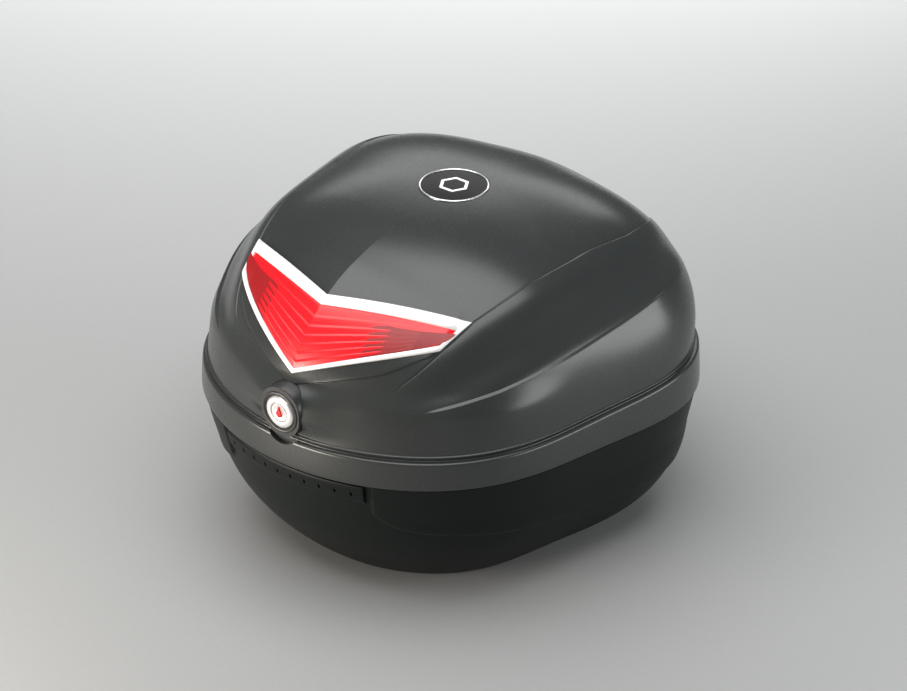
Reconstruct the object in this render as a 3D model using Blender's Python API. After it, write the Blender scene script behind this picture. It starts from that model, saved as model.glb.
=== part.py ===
# Hard luggage case for the back of a motorcycle: a deep base on rubber feet, a domed lid on two rear
# hinges, a push-button lock with a latch hook, a reflector across the front of the lid, a badge on its
# crown, and the plate and bolt that hold the case on a rack. Metres, +Z up, the lock on the -Y side.

import math

import bmesh
import bpy
import numpy as np

# Overall sizes.
case_width = 0.403
case_depth = 0.411
lid_top = 0.2916
seam_height = 0.131
groove_height = 0.157
seam_drop = 0.005
groove_rise = 0.004

# Walls and the joint between the lid and the base.
lid_wall = 0.0042
base_wall = 0.0034
skirt_wall = 0.0056
seal_height = 0.0030
tongue_height = 0.0080
gap = 0.0003
foot_height = 0.0022

# Reflector, badge and lock.
reflector_half_width = 0.1125
reflector_depth = 0.052
badge_radius = 0.029
lock_radius = 0.014
housing_half = 0.0198
housing_half_height = 0.0220
button_travel = 0.0035

# Hinges and the rack plate.
hinge_offset = 0.045
hinge_radius = 0.0055
pin_radius = 0.0025
plate_width = 0.150
bolt_travel = 0.008

around = 54
round_sides = 24

# Reach of the rim from its middle, every thirty degrees from the front round to the back.
rim_reach = (0.2171, 0.2143, 0.1996, 0.1956, 0.2147, 0.1956, 0.1938)
rim_stations = np.radians(np.arange(len(rim_reach)) * 30.0)
rim_harmonics = np.linalg.solve(np.cos(np.outer(rim_stations, np.arange(len(rim_reach)))), rim_reach)


def natural_rim(angle):
    reach = sum(value * math.cos(order * angle) for order, value in enumerate(rim_harmonics))
    return reach * math.sin(angle), -reach * math.cos(angle)


widest = max(natural_rim(math.radians(degree))[0] for degree in range(180))
width_scale = case_width / (2 * widest)
depth_scale = case_depth / (rim_reach[0] + rim_reach[-1])
height_scale = (lid_top - seam_height) / 0.1606
front_y = natural_rim(0)[1] * depth_scale
rear_y = natural_rim(math.pi)[1] * depth_scale

hinge_y = rear_y + 0.0042
hinge_z = seam_height - seam_drop - 0.0062
lock_face_y = front_y - 0.0009
lock_z = groove_height + 0.0225
middle_y = -(lock_face_y - 0.0003 + hinge_y + hinge_radius) / 2


def smooth(low, high, value):
    share = min(max((value - low) / (high - low), 0.0), 1.0)
    return share * share * (3 - 2 * share)


def around_blend(front, side, rear, angle):
    # A cosine blend that takes the three given values at the front, the side and the rear.
    mean = (front + rear) / 4 + side / 2
    return mean + (front - rear) / 2 * math.cos(angle) + (mean - side) * math.cos(2 * angle)


def rim_point(angle, scale=1.0, inset=0.0):
    x, y = natural_rim(angle)
    x *= width_scale * scale
    y *= depth_scale * scale
    keep = 1 - inset / math.hypot(x, y)
    return x * keep, y * keep


def slope_share(y):
    return smooth(-0.365 * case_depth, 0.243 * case_depth, y)


def seam_z(y):
    return seam_height - seam_drop * slope_share(y)


def groove_z(y):
    return groove_height + groove_rise * slope_share(y)


def wall_start(y):
    return groove_z(y) + 0.0036


# ------------------------------------------------------------------ surfaces of the lid and the base

lid_lean = 0.0262
lid_inset_scale = 0.97


def lid_point(angle, share, wall=0.0):
    # share runs from 0 at the groove to 1 at the crown.
    crown_power = around_blend(3.10, 2.61, 1.48, angle)
    wall_power = around_blend(2.71, 2.76, 2.45, angle)
    rise = math.sin(share * math.pi / 2) ** (2 / crown_power)
    shrink = max(math.cos(share * math.pi / 2), 0.0) ** (2 / wall_power)
    x, y = rim_point(angle, lid_inset_scale, wall)
    start = wall_start(y)
    lean = lid_lean * depth_scale
    return x * shrink, y * shrink + lean * rise, start + (lid_top - wall - start) * rise


def lid_front_point(x, z):
    # The point of the front of the lid at a given x and height.
    def at_height(angle):
        low, high = 0.0, 1.0
        for _ in range(24):
            middle = (low + high) / 2
            if lid_point(angle, middle)[2] < z:
                low = middle
            else:
                high = middle
        return lid_point(angle, (low + high) / 2)

    low, high = 0.0, math.radians(100)
    for _ in range(24):
        middle = (low + high) / 2
        if at_height(middle)[0] < abs(x):
            low = middle
        else:
            high = middle
    found = at_height((low + high) / 2)
    return np.array([x, found[1], z])


def lid_front_normal(x, z):
    step = 0.002
    across = lid_front_point(x + step, z) - lid_front_point(x - step, z)
    upward = lid_front_point(x, z + step) - lid_front_point(x, z - step)
    normal = np.cross(across, upward)
    return normal / np.linalg.norm(normal)


def panel_offset(angle, z):
    # The band under the seam stands a little proud of the bowl round the sides.
    lower_edge = around_blend(0.088, 0.062, 0.060, angle) * height_scale
    start = smooth(math.radians(20), math.radians(27), angle)
    return 0.0030 * start * smooth(lower_edge - 0.010, lower_edge + 0.002, z)


base_bottom = foot_height + gap
base_inset_scale = 0.965


def base_point(angle, share, wall=0.0):
    # share runs from 0 at the seam to 1 at the bottom edge.
    foot_scale = around_blend(0.66, 0.68, 0.78, angle)
    power = around_blend(2.47, 3.06, 3.65, angle)
    scale = foot_scale + (base_inset_scale - 0.012 - foot_scale) * (1 - share ** power)
    x, y = rim_point(angle, scale)
    floor = base_bottom + wall
    z = floor + (seam_z(y) - floor) * (1 - share)
    return (*rim_point(angle, scale, wall - panel_offset(abs(angle), z)), z)


# ------------------------------------------------------------------------------------ mesh builders

frame = None


def clear_scene():
    for item in list(bpy.data.objects):
        bpy.data.objects.remove(item, do_unlink=True)


def add_frame():
    empty = bpy.data.objects.new("case_frame", None)
    empty.location = (0, middle_y, 0)
    bpy.context.scene.collection.objects.link(empty)
    return empty


def finish(name, grid, look, pivot=(0, 0, 0), sharp=35):
    bmesh.ops.remove_doubles(grid, verts=grid.verts, dist=0.000001)
    bmesh.ops.recalc_face_normals(grid, faces=grid.faces)
    bmesh.ops.translate(grid, verts=grid.verts, vec=(-pivot[0], -pivot[1], -pivot[2]))
    mesh = bpy.data.meshes.new(name)
    grid.to_mesh(mesh)
    grid.free()
    mesh.shade_smooth()
    mesh.set_sharp_from_angle(angle=math.radians(sharp))
    item = bpy.data.objects.new(name, mesh)
    item.location = pivot
    item.parent = frame
    bpy.context.scene.collection.objects.link(item)
    if look:
        mesh.materials.append(paint(name, *look))
    else:
        item.hide_render = True
        item.display_type = "WIRE"
    return item


def bridge(grid, first, second):
    count = len(first)
    for index in range(count):
        following = (index + 1) % count
        grid.faces.new((first[index], first[following], second[following], second[index]))


def fan(grid, loop, tip):
    for index in range(len(loop)):
        grid.faces.new((loop[index], loop[(index + 1) % len(loop)], tip))


def tipped_solid(name, rings, start_tip, end_tip, look, pivot=(0, 0, 0)):
    # A body of stacked rings that closes to one point at each end.
    grid = bmesh.new()
    loops = [[grid.verts.new(point) for point in ring] for ring in rings]
    for first, second in zip(loops, loops[1:]):
        bridge(grid, first, second)
    fan(grid, loops[0], grid.verts.new(start_tip))
    fan(grid, loops[-1], grid.verts.new(end_tip))
    return finish(name, grid, look, pivot)


def hoop_solid(name, rings, look, pivot=(0, 0, 0)):
    # A closed hoop whose section has one corner on each ring.
    grid = bmesh.new()
    loops = [[grid.verts.new(point) for point in ring] for ring in rings]
    for first, second in zip(loops, loops[1:] + loops[:1]):
        bridge(grid, first, second)
    return finish(name, grid, look, pivot)


def patch_solid(name, outer, inner, look, pivot=(0, 0, 0)):
    # A plate between two grids of points with the same rows and columns.
    grid = bmesh.new()
    sheets = [[[grid.verts.new(point) for point in row] for row in sheet] for sheet in (outer, inner)]
    rows = len(outer)
    columns = len(outer[0])
    for sheet in sheets:
        for row in range(rows - 1):
            for column in range(columns - 1):
                grid.faces.new((sheet[row][column], sheet[row][column + 1],
                                sheet[row + 1][column + 1], sheet[row + 1][column]))
    border = [(0, column) for column in range(columns)]
    border += [(row, columns - 1) for row in range(1, rows)]
    border += [(rows - 1, column) for column in range(columns - 2, -1, -1)]
    border += [(row, 0) for row in range(rows - 2, 0, -1)]
    edges = [[sheet[row][column] for row, column in border] for sheet in sheets]
    bridge(grid, edges[0], edges[1])
    return finish(name, grid, look, pivot)


def prism(name, outline, axis, low, high, look, pivot=(0, 0, 0), holes=()):
    # The outline lies across the axis: (y, z) for X, (x, z) for Y and (x, y) for Z.
    def place(point, height):
        first, second = point
        return {"X": (height, first, second), "Y": (first, height, second),
                "Z": (first, second, height)}[axis]

    grid = bmesh.new()
    ends = [[grid.verts.new(place(point, height)) for point in outline] for height in (low, high)]
    bridge(grid, ends[0], ends[1])
    for end in ends:
        grid.faces.new(end)
    item = finish(name, grid, look, pivot)
    for hole in holes:
        combine(item, hole, "DIFFERENCE")
    return item


def circle(radius, centre=(0, 0), sides=round_sides):
    turns = [2 * math.pi * (index + 0.5) / sides for index in range(sides)]
    return [(centre[0] + radius * math.cos(turn), centre[1] + radius * math.sin(turn)) for turn in turns]


def rectangle(low, high):
    return [(low[0], low[1]), (high[0], low[1]), (high[0], high[1]), (low[0], high[1])]


def rounded(half_x, half_y, radius, centre=(0, 0), steps=4):
    points = []
    for corner, (side_x, side_y) in enumerate(((1, 1), (-1, 1), (-1, -1), (1, -1))):
        for step in range(steps + 1):
            turn = math.pi / 2 * (corner + step / steps)
            points.append((centre[0] + side_x * (half_x - radius) + radius * math.cos(turn),
                           centre[1] + side_y * (half_y - radius) + radius * math.sin(turn)))
    return points


def turned(name, profile, centre, axis, look, pivot=(0, 0, 0), sides=round_sides):
    # The profile is (radius, distance along the axis) and starts and ends on the axis.
    def place(radius, turn, height):
        first = centre[0] + radius * math.cos(turn)
        second = centre[1] + radius * math.sin(turn)
        return {"X": (height, first, second), "Y": (first, height, second),
                "Z": (first, second, height)}[axis]

    rings = [[place(radius, 2 * math.pi * (index + 0.5) / sides, height) for index in range(sides)]
             for radius, height in profile[1:-1]]
    tips = [place(0, 0, profile[0][1]), place(0, 0, profile[-1][1])]
    return tipped_solid(name, rings, tips[0], tips[1], look, pivot)


def combine(target, tool, operation):
    modifier = target.modifiers.new(tool.name, "BOOLEAN")
    modifier.operation = operation
    modifier.object = tool
    modifier.solver = "EXACT"


def box(name, low, high, look=None, pivot=(0, 0, 0)):
    return prism(name, rectangle(low[:2], high[:2]), "Z", low[2], high[2], look, pivot)


def paint(name, colour, roughness, metallic=0.0):
    material = bpy.data.materials.new(f"{name}_paint")
    material.use_nodes = True
    shader = material.node_tree.nodes["Principled BSDF"]
    shader.inputs["Base Color"].default_value = (*colour, 1)
    shader.inputs["Roughness"].default_value = roughness
    shader.inputs["Metallic"].default_value = metallic
    return material


def full_turn():
    return [2 * math.pi * index / around for index in range(around)]


def signed(angle):
    return angle if angle <= math.pi else angle - 2 * math.pi


def rim_ring(inset, height):
    # One ring at a fixed distance inside the rim; height maps the y of each point to its z.
    points = []
    for angle in full_turn():
        x, y = rim_point(angle, 1.0, inset)
        points.append((x, y, height(y)))
    return points


# --------------------------------------------------------------------------------------------- lid

lid_pivot = (0, hinge_y, hinge_z)
skirt_inner = skirt_wall
ledge_rise = tongue_height + seal_height + 0.0007
inner_wall_inset = 0.0122


def lid_rings():
    shares = [0.92, 0.82, 0.70, 0.58, 0.46, 0.35, 0.25, 0.16, 0.08, 0.0]
    outer = [[lid_point(angle, share) for angle in full_turn()] for share in shares]
    skirt = [
        rim_ring(0.0084, lambda y: groove_z(y) + 0.0014),
        rim_ring(0.0084, lambda y: groove_z(y) - 0.0008),
        rim_ring(0.0032, lambda y: groove_z(y) - 0.0030),
        rim_ring(0.0019, lambda y: groove_z(y) - 0.0048),
        rim_ring(0.0007, lambda y: seam_z(y) + 0.0100),
        rim_ring(0.0000, lambda y: seam_z(y) + 0.0015),
        rim_ring(0.0010, seam_z),
        rim_ring(skirt_inner - 0.0006, seam_z),
        rim_ring(skirt_inner, lambda y: seam_z(y) + 0.0012),
        rim_ring(skirt_inner, lambda y: seam_z(y) + ledge_rise),
        rim_ring(inner_wall_inset, lambda y: seam_z(y) + ledge_rise),
        rim_ring(inner_wall_inset, lambda y: wall_start(y) + 0.001),
    ]
    inner = [[lid_point(angle, share, lid_wall) for angle in full_turn()]
             for share in (0.12, 0.22, 0.34, 0.46, 0.58, 0.70, 0.82, 0.92)]
    return outer + skirt + inner


def add_lid_shell(look):
    crown = (0, lid_lean * depth_scale, lid_top)
    roof = (0, lid_lean * depth_scale, lid_top - lid_wall)
    lid = tipped_solid("lid_shell", lid_rings(), crown, roof, look, lid_pivot)
    for side in (-1, 1):
        combine(lid, lid_knuckle(side), "UNION")
    combine(lid, prism("hinge_bore_cutter", circle(pin_radius + gap, (hinge_y, hinge_z), 16), "X",
                       -0.1, 0.1, None), "DIFFERENCE")
    combine(lid, reflector_solid("reflector_cutter", 2 * gap, -recess_depth, 0.012, None), "DIFFERENCE")
    combine(lid, prism("badge_cutter", circle(badge_radius + gap, badge_centre, 32), "Z",
                       badge_floor - gap, lid_top + 0.01, None), "DIFFERENCE")
    combine(lid, prism("lock_cutter", lock_outline(2 * gap), "Y", front_y - 0.02, front_y + 0.034,
                       None), "DIFFERENCE")
    # A shallow finger scoop runs from the lock down into the skirt.
    scoop_top = lock_z + 0.004
    scoop_bottom = lock_z - housing_half_height - scoop_drop
    scoop_half = housing_half + 2 * gap
    scoop = rounded(scoop_half, (scoop_top - scoop_bottom) / 2, scoop_half - 0.001,
                    (0, (scoop_top + scoop_bottom) / 2), 6)
    combine(lid, prism("scoop_cutter", scoop, "Y", front_y - 0.02, front_y + scoop_depth, None),
            "DIFFERENCE")
    return lid


knuckle_half = 0.0098
ear_width = 0.005


def lid_knuckle(side):
    # The middle knuckle of one hinge with its arm up to the skirt.
    x = side * hinge_offset
    skirt_y = rim_y(abs(x) + knuckle_half, 0.0012)
    round_part = [(hinge_y + hinge_radius * math.cos(turn), hinge_z + hinge_radius * math.sin(turn))
                  for turn in np.radians(np.arange(-150, 31, 15))]
    arm = [(hinge_y + 0.0030, hinge_z + 0.020), (skirt_y, hinge_z + 0.026), (skirt_y, hinge_z + 0.0075),
           (hinge_y - hinge_radius, hinge_z + 0.0060)]
    return prism(f"lid_knuckle_{side}", round_part + arm, "X", x - knuckle_half, x + knuckle_half, None)


def rim_y(x, inset, scale=1.0):
    # The y of the rear of the rim at a given x.
    low, high = math.pi / 2, math.pi
    for _ in range(40):
        middle = (low + high) / 2
        if rim_point(middle, scale, inset)[0] > abs(x):
            low = middle
        else:
            high = middle
    return rim_point(low, scale, inset)[1]


# --------------------------------------------------------------------------------------- reflector

recess_depth = 0.0022
reflector_bottom = lock_z + housing_half_height + 0.0055
reflector_top = reflector_bottom + reflector_depth
reflector_tip_drop = 0.0045
reflector_low_share = 0.925


def reflector_edges(x, grow=0.0):
    # Lower and upper edge of the reflector at x, measured in front view.
    low_x = reflector_half_width * reflector_low_share
    rise = 0.033
    reach = min(abs(x), reflector_half_width + grow)
    upper = reflector_top - reflector_tip_drop * reach / reflector_half_width + grow
    lower = reflector_top - reflector_depth + rise * min(reach / low_x, 1.0) - grow
    if reach > low_x:
        beyond = (reach - low_x) / (reflector_half_width - low_x + grow)
        lower += (upper - 0.0012 - lower) * min(beyond, 1)
    return lower, upper


def reflector_columns(grow):
    half = reflector_half_width + grow
    low_x = reflector_half_width * reflector_low_share
    right = [0, 0.16, 0.33, 0.5, 0.66, 0.82]
    steps = [share * low_x for share in right] + [low_x, (low_x + half) / 2, half]
    return [-step for step in steps[:0:-1]] + steps


def reflector_grid(grow, height, rows):
    points = []
    for x in reflector_columns(grow):
        lower, upper = reflector_edges(x, grow)
        column = []
        for row in range(rows + 1):
            z = lower + (upper - lower) * row / rows
            column.append(lid_front_point(x, z) + lid_front_normal(x, z) * height)
        points.append(column)
    return points


def reflector_solid(name, grow, low, high, look, rows=6, pivot=(0, 0, 0)):
    return patch_solid(name, reflector_grid(grow, high, rows), reflector_grid(grow, low, rows),
                       look, pivot)


frame_width = 0.0042


def reflector_loop(grow, height):
    columns = reflector_columns(grow)
    top = [(x, reflector_edges(x, grow)[1]) for x in columns]
    bottom = [(x, reflector_edges(x, grow)[0]) for x in reversed(columns)]
    return [lid_front_point(x, z) + lid_front_normal(x, z) * height for x, z in top + bottom]


def add_reflector(chrome, red, backing):
    inside = -frame_width
    rings = [reflector_loop(0, 1.6 * gap - recess_depth), reflector_loop(0, 0.0010),
             reflector_loop(-0.0008, 0.0018), reflector_loop(inside + 0.0006, 0.0018),
             reflector_loop(inside, 0.0012), reflector_loop(inside, 1.6 * gap - recess_depth)]
    hoop_solid("reflector_frame", rings, chrome, lid_pivot)
    floor = 1.6 * gap - recess_depth
    middle = floor + 0.0008
    reflector_solid("reflector_backing", inside - 2 * gap, floor, middle, backing, pivot=lid_pivot)
    reflector_solid("reflector_lens", inside - 2 * gap, middle + gap, 0.0010, red, pivot=lid_pivot)


# ------------------------------------------------------------------------------------------- badge

badge_centre = (0, 0.008 * depth_scale)
badge_floor = lid_top - 0.0014
badge_rim = 0.0026


def add_badge(chrome, black):
    ring = [[(*point, height) for point in circle(radius, badge_centre, 32)]
            for radius, height in ((badge_radius, badge_floor), (badge_radius, badge_floor + 0.0018),
                                   (badge_radius - 0.0006, badge_floor + 0.0024),
                                   (badge_radius - badge_rim, badge_floor + 0.0024),
                                   (badge_radius - badge_rim, badge_floor))]
    hoop_solid("badge_ring", ring, chrome, lid_pivot)
    prism("badge_disc", circle(badge_radius - badge_rim - gap, badge_centre, 32), "Z", badge_floor,
          badge_floor + 0.0017, black, lid_pivot)


# -------------------------------------------------------------------------------------------- lock

housing_face = lock_face_y + 0.002
bore_floor = lock_face_y + 0.0135 + button_travel
housing_back = bore_floor + 0.003
stem_radius = 0.004
bezel_radius = 0.018
plug_radius = 0.008
pivot_y = housing_back + 0.0083
pivot_z = lock_z - 0.0250
latch_pin_radius = 0.002
stem_end = pivot_y - 0.0023
lug_x = 0.0095
scoop_drop = 0.0075
scoop_depth = 0.0030


def lock_outline(grow=0.0):
    return rounded(housing_half + grow, housing_half_height + grow, housing_half - 0.0005 + grow,
                   (0, lock_z), 6)


def add_lock_housing(look):
    housing = prism("lock_housing", lock_outline(), "Y", housing_face, housing_back, look, lid_pivot)
    for side in (-1, 1):
        lug = box(f"latch_lug_{side}", (side * lug_x - 0.002, housing_back - 0.002, pivot_z - 0.0055),
                  (side * lug_x + 0.002, pivot_y + 0.005, lock_z - housing_half_height + 0.008))
        combine(housing, lug, "UNION")
    centre = (0, lock_z)
    before = housing_face - 0.01
    bore = turned("lock_bore_cutter", [(0, before), (bezel_radius + gap, before),
                                       (bezel_radius + gap, housing_face + 0.0028),
                                       (lock_radius + gap, housing_face + 0.0028),
                                       (lock_radius + gap, bore_floor), (stem_radius + gap, bore_floor),
                                       (stem_radius + gap, housing_back + 0.01),
                                       (0, housing_back + 0.01)], centre, "Y", None)
    combine(housing, bore, "DIFFERENCE")
    pin_hole = prism("latch_pin_cutter", circle(latch_pin_radius + gap, (pivot_y, pivot_z), 16), "X",
                     -0.02, 0.02, None)
    combine(housing, pin_hole, "DIFFERENCE")


def add_lock(bezel_paint, silver, steel, red, black):
    centre = (0, lock_z)
    middle = (0, lock_face_y, lock_z)
    bezel = [[(x, height, z) for x, z in circle(radius, centre, 32)]
             for radius, height in ((bezel_radius, housing_face + 0.0025),
                                    (bezel_radius, housing_face - 0.0006),
                                    (bezel_radius - 0.0008, housing_face - 0.0012),
                                    (lock_radius + gap, housing_face - 0.0002),
                                    (lock_radius + gap, housing_face + 0.0025))]
    hoop_solid("lock_bezel", bezel, bezel_paint, lid_pivot)
    back = lock_face_y + 0.0105
    turned("lock_button", [(0, lock_face_y + 0.0092), (plug_radius + gap, lock_face_y + 0.0092),
                           (plug_radius + gap, lock_face_y + 0.0004), (plug_radius + 0.0008, lock_face_y),
                           (lock_radius - 0.0012, lock_face_y), (lock_radius, lock_face_y + 0.0012),
                           (lock_radius, back), (stem_radius, back), (stem_radius, stem_end - 0.0028),
                           (0.0012, stem_end), (0, stem_end)], centre, "Y", silver, middle)
    turned("key_plug", [(0, lock_face_y + 0.0009), (plug_radius - 0.0004, lock_face_y + 0.0009),
                        (plug_radius, lock_face_y + 0.0013), (plug_radius, lock_face_y + 0.0092 - gap),
                        (0, lock_face_y + 0.0092 - gap)], centre, "Y", steel, middle)
    drop = [(0.0027 * math.cos(turn), lock_z + 0.0026 + 0.0027 * math.sin(turn))
            for turn in np.radians(np.arange(-20, 201, 20))] + [(-0.0012, lock_z - 0.006),
                                                               (0.0012, lock_z - 0.006)]
    prism("keyhole_cover", drop, "Y", lock_face_y - 0.0003, lock_face_y + 0.0009 - gap, red, middle)
    coil = [[(x, height, z) for x, z in circle(radius, centre, 16)]
            for radius, height in ((0.0075, back + gap), (0.0075, bore_floor - gap),
                                   (0.0055, bore_floor - gap), (0.0055, back + gap))]
    hoop_solid("button_spring", coil, steel, lid_pivot)
    add_latch(steel, black)


hook_bottom = seam_height - 0.014
hook_tip_y = pivot_y + 0.0070
hook_half = 0.006


def add_latch(steel, black):
    front = pivot_y - 0.0018
    back = pivot_y + 0.0018
    outline = [(front, lock_z + 0.005), (back, lock_z + 0.005), (back, pivot_z + 0.005),
               (pivot_y + 0.0043, pivot_z + 0.003), (pivot_y + 0.0043, pivot_z - 0.003),
               (back, pivot_z - 0.005), (back, hook_bottom + 0.006), (hook_tip_y, hook_bottom + 0.0055),
               (hook_tip_y, hook_bottom + 0.0025), (back + 0.001, hook_bottom), (front, hook_bottom),
               (front, pivot_z - 0.005), (pivot_y - 0.0043, pivot_z - 0.003),
               (pivot_y - 0.0043, pivot_z + 0.003), (front, pivot_z + 0.005)]
    pivot = (0, pivot_y, pivot_z)
    hole = prism("hook_bore_cutter", circle(latch_pin_radius + gap, (pivot_y, pivot_z), 16), "X",
                 -0.03, 0.03, None)
    prism("latch_hook", outline, "X", -hook_half, hook_half, steel, pivot, holes=(hole,))
    prism("latch_pin", circle(latch_pin_radius, (pivot_y, pivot_z), 16), "X", -0.0135, 0.0135, black,
          pivot)


# -------------------------------------------------------------------------------------------- base

tray_half = 0.223 * case_width
tray_front = -0.219 * case_depth
tray_rear = 0.207 * case_depth
tray_top = 0.018
tray_wall = 0.0045


def base_rings():
    shares = [1.0, 0.975, 0.93, 0.86, 0.77, 0.66, 0.54, 0.40, 0.22, 0.0]
    outer = [[base_point(signed(angle), share) for angle in full_turn()] for share in shares]
    top_inset = 0.0076
    rim = [
        rim_ring(top_inset, lambda y: seam_z(y) + 0.001),
        rim_ring(top_inset, lambda y: seam_z(y) + tongue_height - 0.0006),
        rim_ring(top_inset + 0.0006, lambda y: seam_z(y) + tongue_height),
        rim_ring(top_inset + base_wall, lambda y: seam_z(y) + tongue_height),
        rim_ring(top_inset + base_wall, lambda y: seam_z(y) + 0.001),
    ]
    inner = [[base_point(signed(angle), share, base_wall) for angle in full_turn()]
             for share in reversed(shares[1:-1])]
    return outer + rim + inner


def add_base_shell(look):
    base = tipped_solid("base_shell", base_rings(), (0, 0, base_bottom), (0, 0, base_bottom + base_wall),
                        look)
    tray = box("tray_block", (-tray_half, tray_front, base_bottom + 0.001),
               (tray_half, tray_rear, tray_top))
    combine(base, tray, "UNION")
    pocket = box("tray_cutter", (tray_wall - tray_half, tray_front + tray_wall, -0.01),
                 (tray_half - tray_wall, tray_rear - tray_wall, tray_top - tray_wall))
    combine(base, pocket, "DIFFERENCE")
    for side in (-1, 1):
        for edge in (-1, 1):
            combine(base, base_ear(side, edge), "UNION")
    bore = prism("ear_bore_cutter", circle(pin_radius + gap, (hinge_y, hinge_z), 16), "X", -0.1, 0.1,
                 None)
    combine(base, bore, "DIFFERENCE")
    for number, (x, y) in enumerate(plate_screw_spots()):
        hole = prism(f"plate_hole_cutter_{number}", circle(0.002 + gap, (x, y), 12), "Z",
                     tray_top - 0.008, tray_top + 0.01, None)
        combine(base, hole, "DIFFERENCE")
    for side in (-1, 1):
        hole = prism(f"striker_hole_cutter_{side}", striker_bore(side), "Y", striker_face - 0.0038,
                     striker_face + 0.002, None)
        combine(base, hole, "DIFFERENCE")


def base_ear(side, edge):
    middle = side * hinge_offset + edge * (knuckle_half + gap + ear_width / 2)
    wall_y = rim_y(abs(middle) + ear_width / 2, 0.0015, base_inset_scale - 0.012)
    round_part = [(hinge_y + hinge_radius * math.cos(turn), hinge_z + hinge_radius * math.sin(turn))
                  for turn in np.radians(np.arange(-60, 91, 15))]
    outline = round_part + [(wall_y, hinge_z + hinge_radius), (wall_y, hinge_z - 0.024)]
    return prism(f"base_ear_{side}_{edge}", outline, "X", middle - ear_width / 2, middle + ear_width / 2,
                 None)


def add_hinge_pins(steel):
    half = knuckle_half + gap + ear_width + 0.001
    for side, label in ((-1, "left"), (1, "right")):
        x = side * hinge_offset
        prism(f"hinge_pin_{label}", circle(pin_radius, (hinge_y, hinge_z), 16), "X", x - half, x + half,
              steel, (x, hinge_y, hinge_z))


def add_rim_seal(rubber):
    low = tongue_height + gap
    rings = [rim_ring(0.0078, lambda y: seam_z(y) + low),
             rim_ring(0.0078, lambda y: seam_z(y) + low + seal_height * 0.6),
             rim_ring(0.0092, lambda y: seam_z(y) + low + seal_height),
             rim_ring(0.0106, lambda y: seam_z(y) + low + seal_height * 0.6),
             rim_ring(0.0106, lambda y: seam_z(y) + low)]
    hoop_solid("rim_seal", rings, rubber)


grip_half_angle = math.radians(21.5)
grip_low = 0.0225
slot_pitch = 0.0148


def add_front_grip(look):
    # A strip that follows the front of the base just under the seam.
    angles = np.linspace(-grip_half_angle, grip_half_angle, 13)
    shares = np.array([0.02, 0.09, 0.165])
    outer = []
    inner = []
    for angle in angles:
        low = [base_point(angle, share) for share in shares]
        inner.append([rim_push(point, gap) for point in low])
        outer.append([rim_push(point, 0.0040 if row < 2 else 0.0024) for row, point in enumerate(low)])
    grip = patch_solid("front_grip", outer, inner, look)
    grid = bmesh.new()
    for index in range(-5, 6):
        x = index * slot_pitch
        corners = [[grid.verts.new((x + dx, front_y + y, base_point(0, 0.125)[2] + dz))
                    for dx, dz in rectangle((-0.0016, -0.0022), (0.0016, 0.0022))] for y in (-0.01, 0.04)]
        bridge(grid, corners[0], corners[1])
        for end in corners:
            grid.faces.new(end)
    combine(grip, finish("slot_cutter", grid, None), "DIFFERENCE")


def rim_push(point, distance):
    x, y, z = point
    keep = 1 + distance / math.hypot(x, y)
    return x * keep, y * keep, z


striker_floor = hook_bottom - 0.0065
striker_screw_z = hook_bottom + 0.001
striker_screw_x = 0.0095
lip_z = hook_bottom + 0.0062


def base_inner_front(z):
    # The y of the inside of the base's front wall at a given height.
    low, high = 0.0, 1.0
    for _ in range(40):
        middle = (low + high) / 2
        if base_point(0, middle, base_wall)[2] > z:
            low = middle
        else:
            high = middle
    return base_point(0, low, base_wall)[1]


striker_face = base_inner_front(striker_floor) + 0.0012


def striker_bore(side):
    return circle(0.0015 + gap, (side * striker_screw_x, striker_screw_z), 12)


def add_striker(steel):
    upright = hook_tip_y + 0.0006
    outline = [(striker_face, striker_floor), (upright + 0.0025, striker_floor),
               (upright + 0.0025, lip_z + 0.003), (upright - 0.0045, lip_z + 0.003),
               (upright - 0.0045, lip_z), (upright, lip_z), (upright, striker_floor + 0.0025),
               (striker_face + 0.0022, striker_floor + 0.0025),
               (striker_face + 0.0022, lip_z + 0.003), (striker_face, lip_z + 0.003)]
    holes = [prism(f"striker_bore_cutter_{side}", striker_bore(side), "Y", striker_face - 0.002,
                   striker_face + 0.004, None) for side in (-1, 1)]
    prism("striker", outline, "X", -0.014, 0.014, steel, holes=holes)
    for side, label in ((-1, "left"), (1, "right")):
        head = striker_face + 0.0022 + gap
        turned(f"striker_screw_{label}", [(0, striker_face - 0.0033), (0.0015, striker_face - 0.0033),
                                          (0.0015, head), (0.003, head), (0.003, head + 0.0014),
                                          (0.0024, head + 0.002), (0, head + 0.002)],
               (side * striker_screw_x, striker_screw_z), "Y", steel, sides=12)


def add_floor_mat(rubber):
    # The mat lies between the two rows of plate screws.
    mat_half = plate_width / 2 - screw_inset - 0.0075
    prism("floor_mat", rounded(mat_half, 0.146 * case_depth, 0.012), "Z", tray_top + gap,
          tray_top + 0.0025, rubber)


# -------------------------------------------------------------------------------------- rack plate

plate_front = -0.073 * case_depth
plate_rear = 0.175 * case_depth
plate_ceiling = tray_top - tray_wall - gap
plate_thickness = 0.003
screw_inset = 0.007


def plate_screw_spots():
    x = plate_width / 2 - screw_inset
    return [(side * x, y) for side in (-1, 1) for y in (plate_front + 0.009, plate_rear - 0.009)]


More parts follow.
